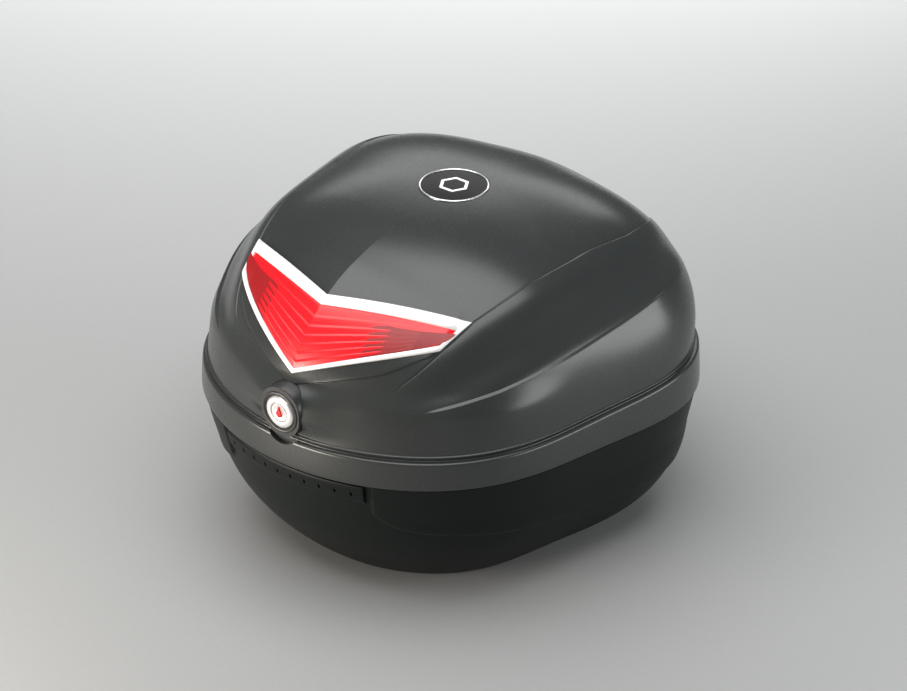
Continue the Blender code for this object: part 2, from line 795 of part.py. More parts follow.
def add_rack_plate(steel, black):
    middle = (0, (plate_front + plate_rear) / 2)
    holes = [prism(f"plate_bore_cutter_{number}", circle(0.002 + gap, spot, 12), "Z",
                   plate_ceiling - 0.0022, plate_ceiling + 0.01, None)
             for number, spot in enumerate(plate_screw_spots())]
    prism("rack_plate", rounded(plate_width / 2, (plate_rear - plate_front) / 2, 0.008, middle, 3), "Z",
          plate_ceiling - plate_thickness, plate_ceiling, black, holes=holes)
    names = ("left_front", "left_rear", "right_front", "right_rear")
    for label, spot in zip(names, plate_screw_spots()):
        head = tray_top + gap
        turned(f"plate_screw_{label}", [(0, plate_ceiling - 0.0018), (0.002, plate_ceiling - 0.0018),
                                        (0.002, head), (0.004, head), (0.004, head + 0.0016),
                                        (0.003, head + 0.0024), (0, head + 0.0024)], spot, "Z", steel,
               sides=12)


def add_plate_bolt(steel, black):
    front = tray_front + tray_wall + bolt_travel + 0.005
    rear = plate_front - 0.004
    low = plate_ceiling - 0.0062
    high = plate_ceiling - 0.0022
    outline = [(front, low - 0.0035), (front + 0.004, low - 0.0035), (front + 0.004, low), (rear, low),
               (rear, high - 0.0015), (rear - 0.0015, high), (front, high)]
    prism("plate_bolt", outline, "X", -0.014, 0.014, steel, (0, front, low))
    guide = [(-0.018, low - 0.0005), (-0.014 - gap, low - 0.0005), (-0.014 - gap, high + gap),
             (0.014 + gap, high + gap), (0.014 + gap, low - 0.0005), (0.018, low - 0.0005),
             (0.018, plate_ceiling), (-0.018, plate_ceiling)]
    prism("bolt_guide", guide, "Y", front + 0.008, rear - 0.010, black)


def add_feet(rubber):
    spots = (("left_front", -1, -0.125), ("right_front", 1, -0.125), ("left_rear", -1, 0.145),
             ("right_rear", 1, 0.145))
    for label, side, share in spots:
        turned(f"foot_{label}", [(0, 0), (0.007, 0), (0.008, 0.0006), (0.008, foot_height),
                                 (0, foot_height)], (side * 0.268 * case_width, share * case_depth), "Z",
               rubber, sides=16)


# ------------------------------------------------------------------------------------------- build

clear_scene()
frame = add_frame()

lid_plastic = ((0.030, 0.031, 0.033), 0.42)
base_plastic = ((0.014, 0.015, 0.016), 0.60)
grip_plastic = ((0.012, 0.012, 0.013), 0.55)
chrome_trim = ((0.80, 0.81, 0.82), 0.18, 0.9)
lens_red = ((0.70, 0.012, 0.020), 0.12)
backing_red = ((0.35, 0.010, 0.014), 0.50)
badge_black = ((0.010, 0.010, 0.012), 0.20)
badge_chrome = ((0.75, 0.76, 0.77), 0.20, 0.9)
housing_plastic = ((0.018, 0.018, 0.019), 0.45)
bezel_plastic = ((0.020, 0.020, 0.022), 0.35)
lock_silver = ((0.72, 0.73, 0.74), 0.28, 0.8)
plug_steel = ((0.60, 0.61, 0.62), 0.30, 0.9)
cover_red = ((0.60, 0.020, 0.025), 0.35)
zinc_steel = ((0.55, 0.56, 0.57), 0.35, 0.9)
soft_rubber = ((0.020, 0.020, 0.020), 0.80)

add_lid_shell(lid_plastic)
add_reflector(chrome_trim, lens_red, backing_red)
add_badge(badge_chrome, badge_black)
add_lock_housing(housing_plastic)
add_lock(bezel_plastic, lock_silver, plug_steel, cover_red, zinc_steel)
add_base_shell(base_plastic)
add_front_grip(grip_plastic)
add_hinge_pins(zinc_steel)
add_rim_seal(soft_rubber)
add_striker(zinc_steel)
add_floor_mat(soft_rubber)
add_rack_plate(zinc_steel, housing_plastic)
add_plate_bolt(zinc_steel, housing_plastic)
add_feet(soft_rubber)
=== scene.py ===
import math

import bmesh
import bpy
import numpy as np
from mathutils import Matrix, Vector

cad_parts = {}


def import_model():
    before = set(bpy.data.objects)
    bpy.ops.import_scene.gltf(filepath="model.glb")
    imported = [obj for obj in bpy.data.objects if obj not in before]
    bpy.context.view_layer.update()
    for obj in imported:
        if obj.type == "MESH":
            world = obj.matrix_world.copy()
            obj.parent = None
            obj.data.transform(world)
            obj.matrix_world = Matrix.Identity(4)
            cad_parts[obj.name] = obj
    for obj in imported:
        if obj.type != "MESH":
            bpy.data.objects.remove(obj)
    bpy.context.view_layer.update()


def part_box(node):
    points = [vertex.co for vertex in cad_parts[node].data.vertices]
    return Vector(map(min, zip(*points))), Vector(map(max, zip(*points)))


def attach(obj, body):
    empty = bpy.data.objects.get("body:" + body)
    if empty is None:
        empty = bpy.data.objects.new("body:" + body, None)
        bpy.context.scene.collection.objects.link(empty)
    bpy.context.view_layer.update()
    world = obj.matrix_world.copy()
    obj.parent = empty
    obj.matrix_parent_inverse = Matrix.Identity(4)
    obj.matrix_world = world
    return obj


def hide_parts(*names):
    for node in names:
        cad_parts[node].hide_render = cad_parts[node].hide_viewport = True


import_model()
print("frame loaded")

caseSize = {
    "width": 0.402,
    "lidTop": 0.2916,
    "seamHeight": 0.131,
    "grooveHeight": 0.157,
    "seamDrop": 0.005,
    "grooveRise": 0.004,
    "rimReach": (0.2171, 0.2143, 0.1996, 0.1956, 0.2147, 0.1956, 0.1938),
    "lidScale": 0.97,
    "lidLean": 0.0262,
    "lidFoot": 0.0036,
    "crownPower": (3.10, 2.61, 1.48),  # front, side and rear
    "wallPower": (2.71, 2.76, 2.45),
    "badgeY": 0.008,
}


def middleOf(node):
    low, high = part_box(node)
    return [(low[axis] + high[axis]) / 2 for axis in range(3)]


frameY = middleOf("badge_disc")[1] - caseSize["badgeY"]  # the case's own middle in the frame


# shared shape of the rim, the lid and the base

def rimHarmonics():
    reach = caseSize["rimReach"]
    count = len(reach)
    stations = np.radians(np.arange(count) * 30.0)
    return np.linalg.solve(np.cos(np.outer(stations, np.arange(count))), reach)


harmonics = rimHarmonics()


def naturalRim(angle):
    reach = sum(value * np.cos(order * angle) for order, value in enumerate(harmonics))
    return reach * np.sin(angle), -reach * np.cos(angle)


widestX = naturalRim(np.radians(np.arange(180.0)))[0].max()
widthScale = caseSize["width"] / (2 * widestX)


def smooth(low, high, value):
    share = np.clip((value - low) / (high - low), 0.0, 1.0)
    return share * share * (3 - 2 * share)


def aroundBlend(front, side, rear, angle):
    mean = (front + rear) / 4 + side / 2
    return mean + (front - rear) / 2 * np.cos(angle) + (mean - side) * np.cos(2 * angle)


def rimPoint(angle, scale=1.0, inset=0.0):
    x, y = naturalRim(angle)
    x = x * widthScale * scale
    y = y * scale
    keep = 1 - inset / np.hypot(x, y)
    return x * keep, y * keep


def rearRimY(x, inset, scale=1.0):
    angles = np.linspace(math.pi / 2, math.pi, 800)
    rimX, rimY = rimPoint(angles, scale, inset)
    return float(np.interp(abs(x), rimX[::-1], rimY[::-1]))


def slopeShare(y):
    return smooth(-0.150, 0.100, y)


def seamZ(y):
    return caseSize["seamHeight"] - caseSize["seamDrop"] * slopeShare(y)


def grooveZ(y):
    return caseSize["grooveHeight"] + caseSize["grooveRise"] * slopeShare(y)


def lidSurface(angle, share, wall=0.0):
    crownPower = aroundBlend(*caseSize["crownPower"], angle)
    wallPower = aroundBlend(*caseSize["wallPower"], angle)
    rise = np.sin(share * math.pi / 2) ** (2 / crownPower)
    shrink = np.cos(np.minimum(share, 1.0) * math.pi / 2).clip(0) ** (2 / wallPower)
    x, y = rimPoint(angle, caseSize["lidScale"], wall)
    start = grooveZ(y) + caseSize["lidFoot"]
    top = caseSize["lidTop"] - wall
    return np.stack([x * shrink, y * shrink + caseSize["lidLean"] * rise, start + (top - start) * rise], -1)


# creases, steps and hollows of the lid. Rolls are degrees about a line along the case.

relief = {
    "rollCentreZ": 0.160,
    "edgeRoll": ((-0.184, 25.0), (-0.173, 32.0), (-0.143, 37.0), (-0.111, 40.2), (-0.052, 41.0),
                 (0.017, 39.8), (0.060, 37.8), (0.110, 37.4)),
    "stepRoll": ((-0.160, 17.8), (-0.122, 17.6), (-0.068, 18.8), (0.0, 20.0), (0.055, 21.3)),
    "edgeLift": ((-0.190, 0.0), (-0.150, 0.0004), (-0.02, 0.0010), (0.05, 0.0014), (0.11, 0.0013),
                 (0.15, 0.0010)),
    "edgeEnd": (0.118, 0.150), "edgeRound": (-0.0002, 0.0009), "edgeFall": (-0.055, -0.004),
    "edgeLine": 0.0008, "lineWidth": 0.0006, "lineSpan": ((-0.178, -0.168), (-0.010, 0.030)),
    "valleyDepth": 0.0040, "valleySpan": ((-0.182, -0.120), (0.085, 0.150)),
    "stepLift": 0.0021, "stepRound": (0.0, 0.0020), "stepFall": 0.020,
    "stepSpan": ((-0.172, -0.150), (0.040, 0.078)),
    "keelSlope": 0.105, "keelWidth": 0.036, "keelEnd": (-0.125, -0.050), "keelRise": (0.190, 0.212),
    "lipHeight": 0.0016, "lipBand": 0.0085, "lipZ": 0.207, "lipSlope": 0.317, "lipBend": (0.070, 0.105),
    "lipRound": (-0.0002, 0.0010), "lipEnd": (-0.125, -0.100), "lipSide": (0.100, 0.108),
    "lipTop": (0.264, 0.284),
    "bulgeHeight": 0.0105, "bulgeWidth": 0.036, "bulgeEnd": (-0.150, -0.120),
    "bulgeSpan": ((0.162, 0.177), (0.184, 0.206)),
}


def before(slope, value):
    return 1 - smooth(*slope, value)


def within(span, value):
    # 1 between the end of the first slope and the start of the second
    return smooth(*span[0], value) * before(span[1], value)


def along(pairs, value):
    return np.interp(value, [pair[0] for pair in pairs], [pair[1] for pair in pairs])


def rollPast(points, pairs):
    x, y, z = np.moveaxis(points, -1, 0)
    roll = np.degrees(np.arctan2(z - relief["rollCentreZ"], np.abs(x) + 1e-6))
    return roll - along(pairs, y)


def lipPast(points):
    x, _, z = np.moveaxis(points, -1, 0)
    side = np.abs(x)
    bend = 1 - 0.75 * smooth(*relief["lipBend"], side)
    return z - (relief["lipZ"] + relief["lipSlope"] * side - relief["lipBand"] * bend)


def lidRelief(points):
    # height of creases, steps and hollows on the lid, along the surface normal
    x, y, z = np.moveaxis(points, -1, 0)
    side = np.abs(x)
    arm = np.hypot(side, z - relief["rollCentreZ"]) * math.pi / 180
    edge = rollPast(points, relief["edgeRoll"]) * arm
    step = rollPast(points, relief["stepRoll"]) * arm
    lift = along(relief["edgeLift"], y) * before(relief["edgeEnd"], y)
    height = lift * before(relief["edgeRound"], edge) * smooth(*relief["edgeFall"], edge)
    line = np.exp(-(edge / relief["lineWidth"]) ** 2)
    height -= relief["edgeLine"] * within(relief["lineSpan"], y) * line
    between = np.clip(-edge / np.maximum(step - edge, 0.02), 0, 1)
    valley = np.sin(math.pi * between ** 1.25) ** 2
    height -= relief["valleyDepth"] * within(relief["valleySpan"], y) * valley
    below = before(relief["stepRound"], step) * np.exp(np.minimum(step, 0) / relief["stepFall"])
    height += relief["stepLift"] * within(relief["stepSpan"], y) * below
    keel = relief["keelSlope"] * relief["keelWidth"] * (1 - np.exp(-side / relief["keelWidth"]))
    height -= keel * before(relief["keelEnd"], y) * smooth(*relief["keelRise"], z)
    bulge = np.exp(-(x / relief["bulgeWidth"]) ** 2) * before(relief["bulgeEnd"], y)
    height += relief["bulgeHeight"] * bulge * within(relief["bulgeSpan"], z)
    front = before(relief["lipEnd"], y) * before(relief["lipSide"], side)
    plateau = smooth(*relief["lipRound"], lipPast(points)) * before(relief["lipTop"], z)
    return height + relief["lipHeight"] * front * plateau


def lidPoint(angle, share, lift=0.0):
    # finished outer surface of the lid, with its creases
    small = 0.0015
    point = lidSurface(angle, share)
    across = lidSurface(angle + small, share) - lidSurface(angle - small, share)
    upward = lidSurface(angle, share + small) - lidSurface(angle, np.maximum(share - small, 0))
    normal = np.cross(across, upward)
    normal = normal / np.linalg.norm(normal, axis=-1, keepdims=True).clip(1e-12)
    height = lidRelief(point) + lift
    return point + normal * np.asarray(height)[..., None]


def crossing(angles, past):
    # share at which each column of the lid passes a line
    low = np.zeros(angles.shape)
    high = np.ones(angles.shape)
    for _ in range(34):
        middle = (low + high) / 2
        passed = past(lidSurface(angles, middle)) > 0
        high = np.where(passed, middle, high)
        low = np.where(passed, low, middle)
    return (low + high) / 2


def frontPoint(x, z, lift=0.0):
    # point of the lid's front at a given x and height
    x = np.asarray(x, float)
    z = np.asarray(z, float)
    angle = np.arcsin(np.clip(x / 0.21, -1, 1))
    share = np.full(angle.shape, 0.5)
    for _ in range(30):
        low = np.zeros(angle.shape)
        high = np.ones(angle.shape)
        for _ in range(26):
            middle = (low + high) / 2
            below = lidSurface(angle, middle)[..., 2] < z
            low = np.where(below, middle, low)
            high = np.where(below, high, middle)
        share = (low + high) / 2
        angle = angle + (x - lidSurface(angle, share)[..., 0]) / 0.25
    return lidPoint(angle, share, lift)


# mesh helpers

def addMesh(name, points, faces, body, material, sharpAngle=35):
    mesh = bpy.data.meshes.new(name)
    shifted = np.asarray(points, float).reshape(-1, 3) + (0, frameY, 0)
    mesh.from_pydata(shifted.tolist(), [], faces)
    mesh.update()
    mesh.materials.append(material)
    piece = bpy.data.objects.new(name, mesh)
    bpy.context.scene.collection.objects.link(piece)
    shadeSmooth(piece, sharpAngle)
    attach(piece, body)
    return piece


def shadeSmooth(piece, sharpAngle=35):
    piece.data.shade_smooth()
    piece.data.set_sharp_from_angle(angle=math.radians(sharpAngle))


def addCutter(name, points, faces):
    mesh = bpy.data.meshes.new(name)
    shifted = np.asarray(points, float).reshape(-1, 3) + (0, frameY, 0)
    mesh.from_pydata(shifted.tolist(), [], faces)
    cutter = bpy.data.objects.new(name, mesh)
    bpy.context.scene.collection.objects.link(cutter)
    return cutter


def prismCutter(name, outline, axis, low, high):
    # a straight bar of the given outline; the outline turns anticlockwise seen against the axis
    order = {"X": (2, 0, 1), "Y": (0, 2, 1), "Z": (0, 1, 2)}[axis]
    ends = []
    for level in (low, high):
        for first, second in outline:
            values = (first, second, level)
            ends.append(tuple(values[index] for index in order))
    count = len(outline)
    faces = [tuple(range(count)), tuple(range(2 * count - 1, count - 1, -1))]
    for index in range(count):
        after = (index + 1) % count
        faces.append((index, index + count, after + count, after))
    cutter = addCutter(name, ends, faces)
    grid = bmesh.new()
    grid.from_mesh(cutter.data)
    bmesh.ops.recalc_face_normals(grid, faces=grid.faces)
    grid.to_mesh(cutter.data)
    grid.free()
    return cutter


def carve(piece, cutter, operation):
    # joins or cuts one piece with a helper solid and keeps the result as its mesh
    modifier = piece.modifiers.new("carve", "BOOLEAN")
    modifier.operation = operation
    modifier.solver = "MANIFOLD"
    modifier.object = cutter
    graph = bpy.context.evaluated_depsgraph_get()
    made = bpy.data.meshes.new_from_object(piece.evaluated_get(graph))
    piece.modifiers.clear()
    before = piece.data
    piece.data = made
    bpy.data.meshes.remove(before)
    bpy.data.objects.remove(cutter)
    if len(made.polygons) < 100:
        raise ValueError("a cut emptied " + piece.name)


def ringFaces(rows, columns, closedRows=False):
    faces = []
    for row in range(rows if closedRows else rows - 1):
        after = (row + 1) % rows
        for column in range(columns):
            nextColumn = (column + 1) % columns
            faces.append((row * columns + column, row * columns + nextColumn,
                          after * columns + nextColumn, after * columns + column))
    return faces


def sheetFaces(rows, columns, flip=False, offset=0):
    faces = []
    for row in range(rows - 1):
        for column in range(columns - 1):
            first = offset + row * columns + column
            face = (first, first + 1, first + columns + 1, first + columns)
            faces.append(face[::-1] if flip else face)
    return faces


def turnedRows(profile, centre, axis, sides=96):
    # rings of a turned piece; the profile is (radius, distance along the axis)
    turn = np.arange(sides) / sides * 2 * math.pi
    rings = []
    for radius, level in profile:
        first = centre[0] + radius * np.cos(turn)
        second = centre[1] + radius * np.sin(turn)
        flat = np.full(sides, level)
        parts = (first, flat, second) if axis == "Y" else (first, second, flat)
        rings.append(np.stack(parts, -1))
    return np.stack(rings)


def addTurned(name, profile, centre, axis, body, material, closed=False, sides=96):
    rows = turnedRows(profile, centre, axis, sides)
    count = len(profile)
    faces = ringFaces(count, sides, closed)
    points = rows.reshape(-1, 3).tolist()
    if not closed:
        for ring, level in ((0, profile[0][1]), (count - 1, profile[-1][1])):
            tip = len(points)
            points.append([centre[0], level, centre[1]] if axis == "Y" else [centre[0], centre[1], level])
            for column in range(sides):
                pair = (ring * sides + column, ring * sides + (column + 1) % sides)
                faces.append((*pair[::-1], tip) if ring == 0 else (*pair, tip))
    if axis == "Z":
        faces = [face[::-1] for face in faces]
    return addMesh(name, points, faces, body, material, 40)


def stadium(halfWidth, halfHeight, centreZ, count=96):
    # outline of a tall slot with round ends, as x and z
    straight = max(halfHeight - halfWidth, 0.0)
    outline = []
    for index in range(count):
        turn = 2 * math.pi * index / count
        shift = straight if math.sin(turn) >= 0 else -straight
        outline.append((halfWidth * math.cos(turn), centreZ + shift + halfWidth * math.sin(turn)))
    return outline


# materials

class Wire:
    # one socket of a node tree, so that shader maths reads as an expression
    def __init__(self, tree, socket):
        self.tree = tree
        self.socket = socket

    def math(self, operation, *values, clamp=False):
        node = self.tree.nodes.new("ShaderNodeMath")
        node.operation = operation
        node.use_clamp = clamp
        for index, value in enumerate(values):
            place(self.tree, node.inputs[index], value)
        return Wire(self.tree, node.outputs[0])

    def __add__(self, other):
        return self.math("ADD", self, other)

    __radd__ = __add__

    def __sub__(self, other):
        return self.math("SUBTRACT", self, other)

    def __rsub__(self, other):
        return self.math("SUBTRACT", other, self)

    def __mul__(self, other):
        return self.math("MULTIPLY", self, other)

    __rmul__ = __mul__

    def clamped(self):
        return self.math("ADD", self, 0.0, clamp=True)


def place(tree, socket, value):
    if isinstance(value, Wire):
        tree.links.new(value.socket, socket)
    else:
        socket.default_value = value


class Paint:
    # a material under construction
    socketNames = {"baseColor": "Base Color", "coatWeight": "Coat Weight", "coatRoughness": "Coat Roughness",
                   "specular": "Specular IOR Level", "emissionColor": "Emission Color",
                   "emissionStrength": "Emission Strength"}

    def __init__(self, name):
        self.material = bpy.data.materials.new(name)
        self.material.use_nodes = True
        self.tree = self.material.node_tree
        self.shader = self.tree.nodes["Principled BSDF"]

    def node(self, kind, settings=None, inputs=None, output=0):
        node = self.tree.nodes.new("ShaderNode" + kind)
        for key, value in (settings or {}).items():
            setattr(node, key, value)
        for key, value in (inputs or {}).items():
            place(self.tree, node.inputs[key], value)
        return Wire(self.tree, node.outputs[output])

    def position(self):
        return self.node("TexCoord", output=3)

    def split(self, axis):
        return self.node("SeparateXYZ", None, {0: self.position()}, axis)

    def noise(self, scale, detail=2.0, roughness=0.5):
        return self.node("TexNoise", None, {"Vector": self.position(), "Scale": scale, "Detail": detail,
                                            "Roughness": roughness})

    def mix(self, share, first, second):
        colours = [value if isinstance(value, Wire) else (*value, 1) for value in (first, second)]
        return self.node("Mix", {"data_type": "RGBA"}, {0: share, 6: colours[0], 7: colours[1]}, 2)

    def set(self, **values):
        for key, value in values.items():
            if isinstance(value, tuple) and len(value) == 3:
                value = (*value, 1)
            place(self.tree, self.shader.inputs[self.socketNames.get(key, key.capitalize())], value)

    def bump(self, height, strength, distance):
        bumped = self.node("Bump", None, {"Height": height, "Strength": strength, "Distance": distance})
        place(self.tree, self.shader.inputs["Normal"], bumped)


def shaded(colour, amount):
    return tuple(part * amount for part in colour)


def grainPlastic(name, look):
    # moulded plastic: fine spark-eroded grain, faint cloudiness in colour and sheen
    paint = Paint(name)
    grain = paint.noise(look["grainScale"], 3.0, 0.6)
    cloud = paint.noise(12.0, 3.0, 0.55)
    colour = paint.mix(cloud, shaded(look["colour"], 0.92), shaded(look["colour"], 1.08))
    speck = ((grain - 0.62) * 6.0).clamped()
    colour = paint.mix(speck * 0.22, colour, shaded(look["colour"], 1.7))
    roughness = look["roughness"] + (cloud - 0.5) * 0.07 + (grain - 0.5) * 0.08
    paint.set(baseColor=colour, roughness=roughness, specular=look["specular"])
    paint.bump(grain, look["bump"], 0.0004)
    return paint.material


def smoothMetal(name, look):
    # plated or turned metal with faint handling marks
    paint = Paint(name)
    marks = paint.noise(look["markScale"], 4.0, 0.7)
    paint.set(baseColor=paint.mix(marks, shaded(look["colour"], 0.93), look["colour"]),
              metallic=look["metallic"], roughness=look["roughness"] + (marks - 0.5) * 0.14)
    paint.bump(marks, look["bump"], 0.0003)
    return paint.material


def glossPlastic(name, look):
    # clear-coated plastic; an emission in its own colour paints on a faint glow of light, as if light came
    # back through it
    paint = Paint(name)
    ripple = paint.noise(look["rippleScale"], 2.0, 0.5)
    # the emission is painted light: a faint glow in the plastic's own colour
    paint.set(baseColor=paint.mix(ripple, look["colour"], look["deep"]),
              roughness=look["roughness"] + (ripple - 0.5) * 0.05, coatWeight=look["coat"],
              coatRoughness=0.05, emissionColor=look["colour"], emissionStrength=look["paintedGlow"],
              specular=look.get("specular", 0.5))
    paint.bump(ripple, 0.04, 0.0004)
    return paint.material


def softRubber(name, look):
    paint = Paint(name)
    grain = paint.noise(900.0, 3.0, 0.65)
    dust = paint.noise(30.0, 4.0, 0.6)
    paint.set(baseColor=paint.mix(dust, look["colour"], shaded(look["colour"], 1.5)),
              roughness=0.78 + (dust - 0.5) * 0.16)
    paint.bump(grain, 0.25, 0.0004)
    return paint.material


plasticLooks = {
    "lidPlastic": {"colour": (0.024, 0.027, 0.0265), "roughness": 0.27, "bump": 0.06, "grainScale": 1400.0,
                   "specular": 0.5},
    "basePlastic": {"colour": (0.0042, 0.0060, 0.0056), "roughness": 0.46, "bump": 0.20,
                    "grainScale": 1100.0, "specular": 0.15},
    "innerPlastic": {"colour": (0.020, 0.020, 0.021), "roughness": 0.62, "bump": 0.15,
                     "grainScale": 1000.0, "specular": 0.35},
    "housingPlastic": {"colour": (0.024, 0.025, 0.025), "roughness": 0.34, "bump": 0.06,
                       "grainScale": 1600.0, "specular": 0.5},
}
metalLooks = {
    "trimSilver": {"colour": (0.90, 0.90, 0.90), "metallic": 0.35, "roughness": 0.34, "markScale": 600.0,
                   "bump": 0.03},
    "ringChrome": {"colour": (0.80, 0.81, 0.82), "metallic": 0.9, "roughness": 0.20, "markScale": 700.0,
                   "bump": 0.02},
    "lockSilver": {"colour": (0.86, 0.86, 0.85), "metallic": 0.70, "roughness": 0.24, "markScale": 900.0,
                   "bump": 0.03},
    "zincSteel": {"colour": (0.56, 0.57, 0.58), "metallic": 0.9, "roughness": 0.36, "markScale": 500.0,
                  "bump": 0.05},
}
glossLooks = {
    # the lens's glow is painted light, an emission that brightens the red
    "lensRed": {"colour": (0.74, 0.006, 0.012), "deep": (0.60, 0.004, 0.008), "roughness": 0.30,
                "coat": 0.10, "paintedGlow": 0.22, "rippleScale": 40.0},
    "coverRed": {"colour": (0.55, 0.010, 0.014), "deep": (0.40, 0.006, 0.010), "roughness": 0.30,
                 "coat": 0.3, "paintedGlow": 0.0, "rippleScale": 300.0},
    "backingRed": {"colour": (0.30, 0.006, 0.008), "deep": (0.18, 0.004, 0.006), "roughness": 0.40,
                   "coat": 0.0, "paintedGlow": 0.0, "rippleScale": 60.0},
    "badgeBlack": {"colour": (0.008, 0.008, 0.007), "deep": (0.005, 0.005, 0.005), "roughness": 0.30,
                   "coat": 0.0, "paintedGlow": 0.0, "rippleScale": 200.0, "specular": 0.12},
}
finishes = {name: grainPlastic(name, look) for name, look in plasticLooks.items()}
finishes.update({name: smoothMetal(name, look) for name, look in metalLooks.items()})
finishes.update({name: glossPlastic(name, look) for name, look in glossLooks.items()})
finishes["blackRubber"] = softRubber("blackRubber", {"colour": (0.018, 0.018, 0.018)})
print("materials ready")


# lid

lidLook = {"wall": 0.0042, "lining": 0.0030, "innerRows": 36, "badgeDepth": 0.0017, "sharp": 32}
lockLook = {
    "halfWidth": 0.0198, "halfHeight": 0.0220, "collarOut": 0.0002, "holeOut": 0.0006,
    "bezelRadius": 0.018, "buttonRadius": 0.014, "plugRadius": 0.008, "scoopDrop": 0.0075,
    "scoopDepth": 0.0055, "scoopTop": 0.013, "scoopIn": 0.0002, "gap": 0.0003, "collarBack": 0.018,
    "stemRadius": 0.004, "stemCone": 0.0028, "buttonBack": 0.0105, "plugBack": 0.0088,
}
lockZ = middleOf("lock_button")[2]
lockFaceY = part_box("lock_button")[0][1] - frameY
frontY = -caseSize["rimReach"][0]
hingeLook = {"offset": 0.045, "radius": 0.0055, "pinRadius": 0.0028, "knuckleHalf": 0.0098, "earWidth": 0.005,
             "gap": 0.0003}
hingeY = middleOf("hinge_pin_left")[1] - frameY
hingeZ = middleOf("hinge_pin_left")[2]


def lidAngles():
    # columns are packed on both sides of the centre line, where the crease runs
    close = np.radians([0.0, 0.06, 0.18, 0.36, 0.6])
    right = np.concatenate([close, np.linspace(math.radians(1.2), math.pi, 232)])
    return np.concatenate([right, 2 * math.pi - right[-2:0:-1]])


def clustered(count, start, end):
    # shares from 0 to 1 packed towards the ends that are asked for
    steps = np.linspace(0, 1, count)
    if start and end:
        return steps + 0.152 * -np.sin(2 * math.pi * steps)
    if start:
        return steps ** 2.2
    return 1 - (1 - steps) ** 2.2


def lidShares(angles):
    # rows follow the step, the edge and the lip, so that each keeps a crisp line
    step = crossing(angles, lambda points: rollPast(points, relief["stepRoll"])).clip(0.03, 0.9)
    edge = crossing(angles, lambda points: rollPast(points, relief["edgeRoll"]))
    edge = np.maximum(edge, step + 0.02)
    lip = np.maximum(crossing(angles, lipPast), edge + 0.02)
    fine = np.array([0.0, 0.004, 0.009, 0.016, 0.026])
    bands = []
    bands.append(step * clustered(26, False, True)[:, None])
    between = np.concatenate([fine, 0.026 + 0.948 * clustered(44, True, True)[1:-1], 1 - fine[::-1]])
    bands.append(step + (edge - step) * between[1:, None])
    across = np.concatenate([fine, 0.026 + 0.948 * clustered(20, True, True)[1:-1], 1 - fine[::-1]])
    bands.append(edge + (lip - edge) * across[1:, None])
    steps = np.concatenate([fine, 0.026 + 0.974 * (1 - (1 - np.linspace(0, 1, 62)[1:-1]) ** 1.35)])
    bands.append(lip + (1 - lip) * steps[1:, None])
    return np.concatenate(bands)


def rimRow(angles, inset, height):
    x, y = rimPoint(angles, 1.0, inset)
    return np.stack([x, y, height(y)], -1)


def arcSteps(count):
    return np.linspace(0, math.pi / 2, count)


def skirtProfile():
    # from the foot of the lid's wall over the shelf and down the skirt, then up its inside
    profile = [(0.0054, grooveZ, 0.0034)]
    for turn in np.linspace(-0.25, 0.5, 8) * math.pi:
        profile.append((0.0056 - 0.0008 * math.cos(turn), grooveZ, 0.0026 - 0.0008 * math.sin(turn)))
    profile += [(0.0062, grooveZ, 0.0014), (0.0066, grooveZ, 0.0006), (0.0066, grooveZ, 0.0)]
    for turn in arcSteps(5):
        profile.append((0.0064 - 0.0010 * math.sin(turn), grooveZ, -0.0002 - 0.0008 * (1 - math.cos(turn))))
    profile += [(0.0046, grooveZ, -0.0011), (0.0040, grooveZ, -0.0012)]
    for turn in arcSteps(9):
        profile.append((0.0036 - 0.0022 * math.sin(turn), grooveZ, -0.0013 - 0.0030 * (1 - math.cos(turn))))
    skirt = [(inset, lambda y, base=base, rise=rise: base(y) + rise) for inset, base, rise in profile]
    for share in np.linspace(0, 1, 9)[1:]:
        skirt.append((0.0014 * (1 - share) ** 1.4,
                      lambda y, part=share: (grooveZ(y) - 0.0043) * (1 - part) + (seamZ(y) + 0.0016) * part))
    for turn in arcSteps(6)[1:]:
        skirt.append((0.0016 * (1 - math.cos(turn)),
                      lambda y, drop=turn: seamZ(y) + 0.0016 * (1 - math.sin(drop))))
    inside = [(0.0050, 0.0), (0.0056, 0.0008), (0.0056, 0.0114), (0.0058, 0.0117), (0.0120, 0.0117),
              (0.0122, 0.0120)]
    skirt += [(inset, lambda y, rise=rise: seamZ(y) + rise) for inset, rise in inside]
    skirt.append((0.0122, lambda y: grooveZ(y) + 0.0046))
    return skirt


def hingeArc(low, high, count):
    turns = np.radians(np.linspace(low, high, count))
    return [(hingeY + hingeLook["radius"] * math.cos(turn), hingeZ + hingeLook["radius"] * math.sin(turn))
            for turn in turns]


def lidKnuckle(side):
    x = side * hingeLook["offset"]
    half = hingeLook["knuckleHalf"]
    skirtY = rearRimY(abs(x) + half, 0.0012)
    outline = hingeArc(-150, 30, 25) + [(hingeY + 0.0030, hingeZ + 0.020), (skirtY, hingeZ + 0.026),
                                        (skirtY, hingeZ + 0.0075),
                                        (hingeY - hingeLook["radius"], hingeZ + 0.0060)]
    return prismCutter("lidKnuckle", outline, "X", x - half, x + half)


def hingeBore():
    outline = [(hingeY + hingeLook["pinRadius"] * math.cos(turn),
                hingeZ + hingeLook["pinRadius"] * math.sin(turn))
               for turn in np.linspace(0, 2 * math.pi, 33)[:-1]]
    return prismCutter("hingeBore", outline, "X", -0.1, 0.1)


def discOutline(radius, centre, count=96):
    turns = np.linspace(0, 2 * math.pi, count + 1)[:-1]
    return [(centre[0] + radius * math.cos(turn), centre[1] + radius * math.sin(turn)) for turn in turns]


